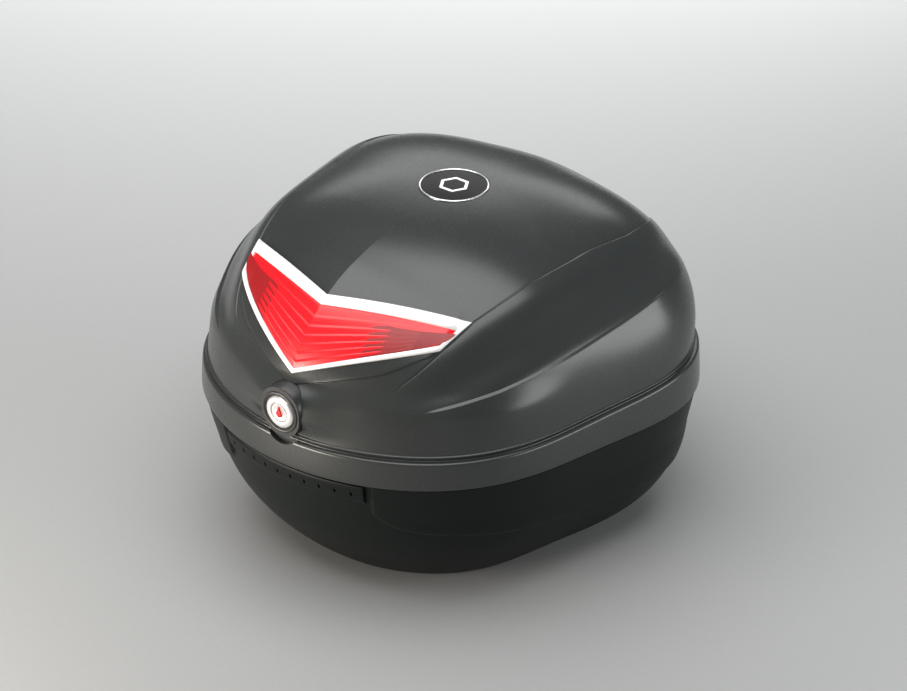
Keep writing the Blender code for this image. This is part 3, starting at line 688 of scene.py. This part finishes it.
def buildLid():
    angles = lidAngles()
    outer = [lidPoint(angles, share) for share in lidShares(angles)[::-1]]
    skirt = [rimRow(angles, inset, height) for inset, height in skirtProfile()]
    lining = lidLook["wall"] + lidLook["lining"]
    inner = [lidSurface(angles, np.full(angles.shape, share), lining)
             for share in np.linspace(0.06, 0.965, lidLook["innerRows"])]
    rows = np.stack(outer + skirt + inner)
    rowCount, columns = rows.shape[:2]
    points = rows.reshape(-1, 3).tolist()
    faces = ringFaces(rowCount, columns)
    crown = len(points)
    points.append(lidPoint(np.array([0.0]), np.array([0.9999]))[0].tolist())
    points.append([0, caseSize["lidLean"], caseSize["lidTop"] - lining])
    faces += [(column, crown, (column + 1) % columns) for column in range(columns)]
    last = (rowCount - 1) * columns
    faces += [(last + column, last + (column + 1) % columns, crown + 1) for column in range(columns)]
    piece = addMesh("lidShellFine", points, [face[::-1] for face in faces], "lid",
                    finishes["lidPlastic"])
    for side in (-1, 1):
        carve(piece, lidKnuckle(side), "UNION")
    carve(piece, hingeBore(), "DIFFERENCE")
    badge = discOutline(badgeLook["radius"] + 0.0005, (0, caseSize["badgeY"]))
    carve(piece, prismCutter("badgeRecess", badge, "Z", caseSize["lidTop"] - lidLook["badgeDepth"], 0.3),
          "DIFFERENCE")
    hole = stadium(lockLook["halfWidth"] + lockLook["holeOut"], lockLook["halfHeight"] + lockLook["holeOut"],
                   lockZ)
    carve(piece, prismCutter("lockHole", hole, "Y", frontY - 0.02, frontY + 0.034), "DIFFERENCE")
    low = lockZ - lockLook["halfHeight"] - lockLook["scoopDrop"]
    high = lockZ + lockLook["scoopTop"]
    half = lockLook["halfWidth"] + lockLook["holeOut"] - lockLook["scoopIn"]
    scoop = stadium(half, (high - low) / 2, (high + low) / 2)
    carve(piece, prismCutter("fingerScoop", scoop, "Y", frontY - 0.02, frontY + lockLook["scoopDepth"]),
          "DIFFERENCE")
    shadeSmooth(piece, lidLook["sharp"])
    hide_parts("lid_shell")


badgeLook = {"radius": 0.0295, "ringWidth": 0.0020, "emblemOut": 0.0135, "emblemIn": 0.0100}
buildLid()
print("lid built")


# badge

def buildBadge():
    centre = (0, caseSize["badgeY"])
    top = caseSize["lidTop"]
    out = badgeLook["radius"]
    inside = out - badgeLook["ringWidth"]
    middle = (out + inside) / 2
    half = badgeLook["ringWidth"] / 2
    ring = [(middle + half * math.cos(turn), top - 0.0002 + 0.0007 * math.sin(turn))
            for turn in np.linspace(-0.2 * math.pi, 1.2 * math.pi, 15)]
    ring += [(inside, top - 0.0014), (out, top - 0.0014)]
    piece = addTurned("badgeRingFine", ring, centre, "Z", "lid", finishes["ringChrome"], True)
    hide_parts("badge_ring")
    disc = [(inside - 0.0001, top - 0.0013)]
    for share in np.linspace(1, 0.02, 14):
        disc.append((inside * share - 0.0001, top - 0.0004 + 0.0006 * (1 - share ** 2)))
    piece = addTurned("badgeDiscFine", disc, centre, "Z", "lid", finishes["badgeBlack"])
    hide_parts("badge_disc")
    emblem = []
    for radius, level in ((badgeLook["emblemOut"], 0.0), (badgeLook["emblemOut"] - 0.0003, 0.0003),
                          (badgeLook["emblemIn"] + 0.0003, 0.0003), (badgeLook["emblemIn"], 0.0)):
        emblem.append((radius, top + 0.0001 + level))
    addTurned("badgeEmblem", emblem, centre, "Z", "lid", finishes["ringChrome"], True, 6)


buildBadge()
print("badge built")


# base

baseLook = {"wall": 0.0034, "bottom": 0.0025, "scale": 0.953, "panelProud": 0.0024, "panelFrom": 21.0,
            "flare": 0.028, "flareShare": 0.30, "flareEnd": (130, 150), "seamGap": 0.0008, "sharp": 32,
            # each for the front, the side and the rear
            "panelEdge": (0.088, 0.062, 0.060), "footScale": (0.66, 0.68, 0.78), "power": (2.47, 3.06, 3.65)}
tongueLook = {"out": 0.0076, "in": 0.0110, "top": 0.0080, "round": 0.0006}
trayLook = {"half": 0.0899, "front": -0.0900, "rear": 0.0851, "top": 0.018, "wall": 0.0045}
earLook = {"drop": 0.024, "sink": 0.012, "inset": 0.0015}
gripLook = {"halfAngle": 20.0, "proud": 0.0034, "startShare": 0.012, "depth": 0.0185, "baseHeight": 0.128,
            "slots": 10, "firstSlot": -0.062, "slotPitch": 0.0138, "slotHalf": (0.0009, 0.0021),
            "slotRise": 0.001}


def panelLift(angle, z):
    # the side panels stand a little proud, from a rounded front corner to the back
    turn = np.degrees(np.abs(angle))
    lowerEdge = aroundBlend(*baseLook["panelEdge"], angle)
    corner = lowerEdge + 0.016 * np.exp(-(turn - baseLook["panelFrom"]).clip(0) / 4.0)
    start = smooth(baseLook["panelFrom"], baseLook["panelFrom"] + 0.9, turn)
    return baseLook["panelProud"] * start * smooth(corner - 0.0030, corner + 0.0008, z)


def basePoint(angle, share, wall=0.0, flat=False):
    footScale = aroundBlend(*baseLook["footScale"], angle)
    power = aroundBlend(*baseLook["power"], angle)
    scale = footScale + (baseLook["scale"] - footScale) * (1 - share ** power)
    flare = (1 - np.minimum(share / baseLook["flareShare"], 1)) ** 1.3
    scale = scale + baseLook["flare"] * flare * before(baseLook["flareEnd"], np.degrees(np.abs(angle)))
    y = rimPoint(angle, scale)[1]
    floor = baseLook["bottom"] + wall
    z = floor + (seamZ(y) - baseLook["seamGap"] - floor) * (1 - share)
    lift = 0.0 if flat or wall else panelLift(angle, z)
    x, y = rimPoint(angle, scale, wall - lift)
    return np.stack([x, y, z], -1)


def baseEar(side, edge):
    look = hingeLook
    middle = side * look["offset"] + edge * (look["knuckleHalf"] + look["gap"] + look["earWidth"] / 2)
    half = look["earWidth"] / 2
    wallY = rearRimY(abs(middle) + half, earLook["inset"], baseLook["scale"] - earLook["sink"])
    outline = hingeArc(-60, 90, 21) + [(wallY, hingeZ + look["radius"]), (wallY, hingeZ - earLook["drop"])]
    return prismCutter("baseEar", outline, "X", middle - half, middle + half)


def rectangle(lowX, lowY, highX, highY):
    return [(lowX, lowY), (highX, lowY), (highX, highY), (lowX, highY)]


def baseAngles():
    # columns are packed where the side panels begin
    edge = math.radians(baseLook["panelFrom"])
    step = edge + np.radians(np.arange(7) * 0.15)
    right = np.concatenate([np.linspace(0, edge, 30)[:-1], step,
                            np.linspace(edge + math.radians(1.6), math.pi, 150)])
    return np.concatenate([right, 2 * math.pi - right[-2:0:-1]])


def tongueProfile():
    # the raised rim that the lid's skirt closes over, as (inset, height over the seam)
    out, inside, top, turn = (tongueLook[key] for key in ("out", "in", "top", "round"))
    return [(out - 0.0004, -turn), (out, 0.001), (out, top - turn), (out + turn, top),
            (inside - turn, top), (inside, top - turn), (inside, 0.001)]


def buildBase():
    angles = baseAngles()
    signed = np.where(angles > math.pi, angles - 2 * math.pi, angles)
    outer = [basePoint(signed, np.full(signed.shape, share)) for share in np.linspace(1, 0, 150)]
    outer[-1][:, :2] *= 0.9995
    rim = [rimRow(angles, inset, lambda y, rise=rise: seamZ(y) + rise) for inset, rise in tongueProfile()]
    inner = [basePoint(signed, np.full(signed.shape, share), baseLook["wall"])
             for share in np.linspace(0.02, 0.985, 40)]
    rows = np.stack(outer + rim + inner)
    rowCount, columns = rows.shape[:2]
    points = rows.reshape(-1, 3).tolist()
    faces = ringFaces(rowCount, columns)
    tip = len(points)
    points.append([0, 0, baseLook["bottom"]])
    points.append([0, 0, baseLook["bottom"] + baseLook["wall"]])
    faces += [(column, tip, (column + 1) % columns) for column in range(columns)]
    last = (rowCount - 1) * columns
    faces += [(last + column, last + (column + 1) % columns, tip + 1) for column in range(columns)]
    piece = addMesh("baseShellFine", points, faces, "base", finishes["basePlastic"])
    look = trayLook
    tray = rectangle(-look["half"], look["front"], look["half"], look["rear"])
    carve(piece, prismCutter("trayBlock", tray, "Z", baseLook["bottom"] + 0.001, look["top"]), "UNION")
    wall = look["wall"]
    pocket = rectangle(wall - look["half"], look["front"] + wall, look["half"] - wall, look["rear"] - wall)
    carve(piece, prismCutter("trayPocket", pocket, "Z", -0.01, look["top"] - wall), "DIFFERENCE")
    for side in (-1, 1):
        for edge in (-1, 1):
            carve(piece, baseEar(side, edge), "UNION")
    carve(piece, hingeBore(), "DIFFERENCE")
    shadeSmooth(piece, baseLook["sharp"])
    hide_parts("base_shell")


def buildGrip():
    # the strip under the seam at the front, with a row of short drain slots along it
    look = gripLook
    half = math.radians(look["halfAngle"])
    angles = np.linspace(-half, half, 161)
    start = look["startShare"]
    shares = np.linspace(start, start + look["depth"] / look["baseHeight"], 22)
    outer = []
    for share in shares:
        flat = basePoint(angles, np.full(angles.shape, share), flat=True)
        below = (share - shares[0]) / (shares[-1] - shares[0])
        lift = look["proud"] * (1 - smooth(0.72, 1.0, below) * 0.72)
        lift = lift * (0.55 + 0.45 * smooth(0.0, 0.12, below))
        ends = 1 - 0.75 * smooth(0.985, 1.0, np.abs(angles) / half)
        keep = 1 + lift * ends / np.hypot(flat[:, 0], flat[:, 1])
        outer.append(np.stack([flat[:, 0] * keep, flat[:, 1] * keep, flat[:, 2]], -1))
    inner = [basePoint(angles, np.full(angles.shape, share), flat=True) * (1.0012, 1.0012, 1)
             for share in shares]
    rows = np.stack(outer + inner[::-1])
    columns = len(angles)
    count = len(rows)
    faces = []
    for row in range(count):
        after = (row + 1) % count
        for column in range(columns - 1):
            faces.append((row * columns + column, row * columns + column + 1, after * columns + column + 1,
                          after * columns + column))
    for column in (0, columns - 1):
        for row in range(len(shares) - 1):
            other = count - 1 - row
            face = (row * columns + column, (row + 1) * columns + column, (other - 1) * columns + column,
                    other * columns + column)
            faces.append(face if column == 0 else face[::-1])
    piece = addMesh("frontGripFine", rows, [face[::-1] for face in faces], "base",
                    finishes["basePlastic"])
    middle = basePoint(np.zeros(1), np.full(1, (shares[0] + shares[-1]) / 2))[0][2]
    for index in range(look["slots"]):
        x = look["firstSlot"] + index * look["slotPitch"]
        slot = stadium(*look["slotHalf"], middle + look["slotRise"], 16)
        slot = [(x + place, height) for place, height in slot]
        carve(piece, prismCutter("gripSlot", slot, "Y", frontY - 0.02, frontY + 0.05), "DIFFERENCE")
    shadeSmooth(piece, baseLook["sharp"])
    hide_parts("front_grip")


buildBase()
buildGrip()
print("base built")


# reflector

reflectorLook = {
    "topEdge": ((0.0, 0.2585), (0.015, 0.2606), (0.035, 0.2621), (0.055, 0.2625), (0.075, 0.2617),
                (0.095, 0.2592), (0.1125, 0.2558), (0.13, 0.2510)),
    "lowEdge": ((0.0, 0.2072), (0.02, 0.2154), (0.045, 0.2248), (0.07, 0.2320), (0.09, 0.2369),
                (0.1041, 0.2400), (0.13, 0.2450)),
    "lowCorner": (0.1041, 0.2400), "tip": (0.1125, 0.2558),
    "trimTop": 0.0054, "trimLow": 0.0038, "trimEnd": 0.0070, "ribs": 7, "rowsPerRib": 14,
    "ribDepth": 0.0006, "ribRise": 0.78, "ribFade": (0.35, 0.96), "lensLift": 0.0003, "lensBack": -0.0014,
    "trimProfile": ((0, -0.0015), (0, 0.0005), (0.02, 0.0011), (0.07, 0.0016), (0.16, 0.0019),
                    (0.35, 0.0021), (0.60, 0.0021), (0.82, 0.0019), (0.93, 0.0015), (0.985, 0.0008),
                    (1.0, 0.0), (1.0, -0.0015)),
}


def curveOf(pairs, value):
    # smooth curve through a few heights
    places, heights = zip(*pairs)
    return np.polyval(np.polyfit(places, heights, 4), value)


def reflectorOutline(share, count):
    # x, lower edge and upper edge of the reflector, from the trim's outside (0) to its inside (1)
    look = reflectorLook
    cornerX, cornerZ = look["lowCorner"]
    slope = (look["tip"][1] - cornerZ) / (look["tip"][0] - cornerX)
    topOff, lowOff, endOff = (share * look[key] for key in ("trimTop", "trimLow", "trimEnd"))
    fine = np.linspace(0, 0.125, 2501)
    upper = curveOf(look["topEdge"], fine) - topOff
    low = curveOf(look["lowEdge"], fine) + lowOff
    end = cornerZ + (fine - cornerX) * slope + endOff
    bend = fine[np.argmax(end > low)]
    tip = fine[np.argmax(end > upper)]
    right = np.concatenate([np.linspace(0, bend, count), np.linspace(bend, tip, 14)[1:]])
    xs = np.concatenate([-right[:0:-1], right])
    reach = np.abs(xs)
    upper = curveOf(look["topEdge"], reach) - topOff
    end = cornerZ + (reach - cornerX) * slope + endOff
    return xs, np.minimum(np.maximum(curveOf(look["lowEdge"], reach) + lowOff, end), upper), upper


def buildTrim():
    rings = []
    for share, lift in reflectorLook["trimProfile"]:
        xs, lower, upper = reflectorOutline(share, 70)
        rings.append(frontPoint(np.concatenate([xs, xs[::-1]]), np.concatenate([upper, lower[::-1]]), lift))
    rows = np.stack(rings)
    faces = ringFaces(len(rings), rows.shape[1], True)
    piece = addMesh("reflectorTrimFine", rows, faces, "lid", finishes["trimSilver"], 50)
    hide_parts("reflector_frame")


def buildLens():
    # the lens's ribs run from the middle out to the tips, where they fade
    look = reflectorLook
    xs, lower, upper = reflectorOutline(1.0, 90)
    rowCount = look["ribs"] * look["rowsPerRib"] + 1
    shares = np.linspace(0, 1, rowCount)[:, None]
    x = np.repeat(xs[None, :], rowCount, 0)
    z = lower + (upper - lower) * shares
    phase = shares * look["ribs"]
    tooth = phase - np.floor(phase)
    wave = np.minimum(tooth / look["ribRise"], (1 - tooth) / (1 - look["ribRise"]))
    fade = 1 - smooth(*look["ribFade"], np.abs(x) / xs[-1])
    fade = fade * (1 - 0.5 * np.exp(-np.abs(x) / 0.002))
    top = frontPoint(x, z, look["lensLift"] + look["ribDepth"] * fade * (wave - 0.35))
    low = frontPoint(x, z, np.full(x.shape, look["lensBack"]))
    points = np.concatenate([top.reshape(-1, 3), low.reshape(-1, 3)])
    columns = len(xs)
    faces = sheetFaces(rowCount, columns, False)
    faces += sheetFaces(rowCount, columns, True, rowCount * columns)
    piece = addMesh("reflectorLensFine", points, faces, "lid", finishes["lensRed"], 50)
    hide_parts("reflector_lens")


buildTrim()
buildLens()
print("reflector built")


# lock

lockCentre = (0, lockZ)
housingFace = lockFaceY + 0.002
plugFace = lockFaceY + 0.0006
coverLook = {"reach": 0.0031, "stretch": 1.15, "pinch": 0.75, "point": 0.0034, "drop": 0.0010}


def buildCollar():
    # the housing's visible collar, with a rounded front edge that runs in to the bezel
    look = lockLook
    rings = []
    count = 128
    for inset, level in ((0, look["collarBack"]), (0, 0.0016), (0.0004, 0.0007), (0.0011, 0.0001),
                         (0.0018, 0.0)):
        out = look["collarOut"] - inset
        flat = stadium(look["halfWidth"] + out, look["halfHeight"] + out, lockZ, count)
        rings.append([(x, housingFace + level, z) for x, z in flat])
    for level in (0.0002, 0.0028):
        flat = discOutline(look["bezelRadius"] + 0.0002, lockCentre, count)
        rings.append([(x, housingFace + level, z) for x, z in flat])
    faces = ringFaces(len(rings), count)
    addMesh("lockCollar", np.array(rings), [face[::-1] for face in faces], "lid",
            finishes["housingPlastic"])


def buildBezel():
    outer = lockLook["bezelRadius"]
    inner = lockLook["buttonRadius"] + lockLook["gap"]
    profile = [(outer, 0.0025), (outer, -0.0004), (outer - 0.0004, -0.0010), (outer - 0.0010, -0.0012),
               (outer - 0.0016, -0.0011), (inner + 0.0012, -0.0001), (inner + 0.0005, 0.0004),
               (inner, 0.0012), (inner, 0.0025)]
    profile = [(radius, housingFace + level) for radius, level in profile[::-1]]
    piece = addTurned("lockBezelFine", profile, lockCentre, "Y", "lid",
                      finishes["housingPlastic"], True)
    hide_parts("lock_bezel")


def buildButton():
    # dished silver ring round the key plug, with the stem that reaches back to the latch hook
    look = lockLook
    plug = look["plugRadius"]
    edge = look["buttonRadius"]
    profile = [(plug + 0.0003, 0.009), (plug + 0.0003, 0.0007), (plug + 0.0008, 0.0002),
               (plug + 0.0016, 0.0)]
    for share in np.linspace(0, 1, 7):
        profile.append((plug + 0.0024 + (edge - plug - 0.0038) * share, 0.0001 + 0.0006 * share ** 2))
    profile += [(edge - 0.0006, 0.0011), (edge - 0.0001, 0.0019), (edge, look["buttonBack"])]
    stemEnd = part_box("lock_button")[1][1] - frameY - lockFaceY
    profile += [(look["stemRadius"], look["buttonBack"]), (look["stemRadius"], stemEnd - look["stemCone"]),
                (0.0012, stemEnd), (0.0006, stemEnd), (0.0006, 0.009)]
    profile = [(radius, lockFaceY + level) for radius, level in profile[::-1]]
    piece = addTurned("lockButtonFine", profile, lockCentre, "Y", "lock_button",
                      finishes["lockSilver"], True)
    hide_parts("lock_button")


def buildPlug():
    plug = lockLook["plugRadius"]
    profile = [(0.0005, plugFace + 0.0002), (plug - 0.0026, plugFace + 0.0002), (plug - 0.0022, plugFace),
               (plug - 0.0006, plugFace), (plug, plugFace + 0.0006), (plug, lockFaceY + lockLook["plugBack"])]
    piece = addTurned("keyPlugFine", profile[::-1], lockCentre, "Y", "key_plug",
                      finishes["lockSilver"])
    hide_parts("key_plug")


def buildKeyholeCover():
    # a red drop with a pointed top, lying on the plug
    look = coverLook
    shape = []
    for turn in np.linspace(-math.pi, math.pi, 49)[:-1]:
        x = look["reach"] * math.sin(turn)
        z = look["reach"] * look["stretch"] * math.cos(turn)
        taper = max(z, 0) / (look["reach"] * look["stretch"])
        shape.append((x * (1 - look["pinch"] * taper ** 1.2), z + look["point"] * taper ** 2 - look["drop"]))
    rings = []
    for scale, height in ((1.0, 0.0002), (1.0, -0.0002), (0.93, -0.0006), (0.75, -0.0008), (0.35, -0.0009)):
        rings.append([(x * scale, plugFace + height, lockZ + z * scale) for x, z in shape])
    count = len(shape)
    points = np.array(rings).reshape(-1, 3).tolist()
    faces = ringFaces(len(rings), count)
    for ring, height in ((0, 0.0002), (len(rings) - 1, -0.0009)):
        tip = len(points)
        points.append([0, plugFace + height, lockZ])
        for column in range(count):
            pair = (ring * count + column, ring * count + (column + 1) % count)
            faces.append((*pair[::-1], tip) if ring == 0 else (*pair, tip))
    piece = addMesh("keyholeCoverFine", points, [face[::-1] for face in faces], "key_plug",
                    finishes["coverRed"], 50)
    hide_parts("keyhole_cover")


buildCollar()
buildBezel()
buildButton()
buildPlug()
buildKeyholeCover()
print("lock built")


# carried-over solids get their finishes

carriedFinishes = {
    "housingPlastic": ("lock_housing", "bolt_guide"),
    "zincSteel": ("button_spring", "latch_hook", "latch_pin", "hinge_pin_left", "hinge_pin_right", "striker",
                  "striker_screw_left", "striker_screw_right", "plate_bolt", "plate_screw_left_front",
                  "plate_screw_left_rear", "plate_screw_right_front", "plate_screw_right_rear"),
    "blackRubber": ("rim_seal", "floor_mat", "foot_left_front", "foot_left_rear", "foot_right_front",
                    "foot_right_rear"),
    "innerPlastic": ("rack_plate",),
    "backingRed": ("reflector_backing",),
}
for finishName, nodeNames in carriedFinishes.items():
    for nodeName in nodeNames:
        node = bpy.data.objects[nodeName]
        node.data.materials.clear()
        node.data.materials.append(finishes[finishName])
print("finishes set")


# studio

studioLook = {
    # the near floor colour is painted shade, the far one painted light
    "floorShadedNear": (0.285, 0.290, 0.290), "floorLitFar": (0.86, 0.87, 0.87), "floorFront": -3.5,
    "floorBack": 1.9, "floorHalf": 5.0, "floorLip": 0.3, "worldColour": (0.95, 0.98, 0.98),
    "worldStrength": 0.15, "azimuth": 38.25, "elevation": 30.54, "eye": (1.4128, -1.7849, 1.4839),
    "sensor": 36, "lens": 123.4022,
}
lights = {
    "topSoftbox": {"at": (-0.05, -0.38, 1.75), "aim": (-0.05, -0.38, 0.0), "size": (2.1, 1.75), "power": 46},
    "backSoftbox": {"at": (-1.15, 1.45, 1.05), "aim": (-1.15, 1.45, 0.0), "size": (2.0, 0.8), "power": 13},
    "frontSoftbox": {"at": (-0.36, -0.90, 0.15), "aim": (0.0, -0.2, 0.17), "size": (0.55, 0.27), "power": 12,
                     "colour": (1.0, 0.90, 0.80)},
    "sideSoftbox": {"at": (0.85, 0.24, 0.22), "aim": (0.15, 0.0, 0.20), "size": (0.8, 0.32), "power": 4.2},
}


def buildFloor():
    # wide flat floor, rounded down at its far edge; its colour is painted light, darker near the front and
    # brighter further back
    look = studioLook
    depths = [(look["floorFront"], 0.0), (look["floorBack"], 0.0)]
    for turn in arcSteps(12)[1:]:
        depths.append((look["floorBack"] + look["floorLip"] * math.sin(turn),
                       -look["floorLip"] * (1 - math.cos(turn))))
    points = []
    aim = math.radians(look["azimuth"])
    for width in (-look["floorHalf"], look["floorHalf"]):
        for depth, height in depths:
            points.append((width * math.cos(aim) - depth * math.sin(aim),
                           width * math.sin(aim) + depth * math.cos(aim), height))
    count = len(depths)
    faces = [(index, index + count, index + count + 1, index + 1) for index in range(count - 1)]
    mesh = bpy.data.meshes.new("studioFloor")
    mesh.from_pydata(points, [], faces)
    mesh.shade_smooth()
    paint = Paint("studioPaper")
    fibre = paint.noise(180.0, 4.0, 0.6)
    # painted light: the floor is painted darker near the front and brighter further back, a painted falloff
    # of the lamps' light
    paintedFalloff = paint.split(1) * math.cos(aim) - paint.split(0) * math.sin(aim)
    paintedFalloff = ((paintedFalloff + 0.25) * 0.72).clamped()
    paintedFalloff = paintedFalloff * paintedFalloff * 0.96 + fibre * 0.04
    paint.set(baseColor=paint.mix(paintedFalloff, look["floorShadedNear"], look["floorLitFar"]),
              roughness=0.65 + (fibre - 0.5) * 0.1, specular=0.2)
    mesh.materials.append(paint.material)
    floor = bpy.data.objects.new("studioFloor", mesh)
    bpy.context.scene.collection.objects.link(floor)


def areaLight(name, look):
    lamp = bpy.data.lights.new(name, "AREA")
    lamp.shape = "RECTANGLE"
    lamp.size, lamp.size_y = look["size"]
    lamp.energy = look["power"]
    lamp.color = look.get("colour", (1, 1, 1))
    item = bpy.data.objects.new(name, lamp)
    item.location = look["at"]
    way = np.array(look["aim"], float) - np.array(look["at"], float)
    item.rotation_euler = (math.atan2(math.hypot(way[0], way[1]), -way[2]), 0, math.atan2(-way[0], way[1]))
    bpy.context.scene.collection.objects.link(item)


def buildStudio():
    world = bpy.data.worlds.new("studioWorld")
    bpy.context.scene.world = world
    world.use_nodes = True
    sky = world.node_tree.nodes["Background"]
    sky.inputs["Color"].default_value = (*studioLook["worldColour"], 1)
    sky.inputs["Strength"].default_value = studioLook["worldStrength"]
    for name, look in lights.items():
        areaLight(name, look)
    bpy.context.scene.view_settings.view_transform = "Standard"


def buildCamera():
    camera = bpy.data.cameras.new("caseCamera")
    look = studioLook
    camera.sensor_width = look["sensor"]
    camera.lens = look["lens"]
    item = bpy.data.objects.new("caseCamera", camera)
    eye = look["eye"]
    item.location = (eye[0], eye[1] + frameY, eye[2])
    item.rotation_euler = (math.radians(90 - look["elevation"]), 0, math.radians(look["azimuth"]))
    bpy.context.scene.collection.objects.link(item)
    bpy.context.scene.camera = item


buildFloor()
buildStudio()
buildCamera()
print("studio ready")
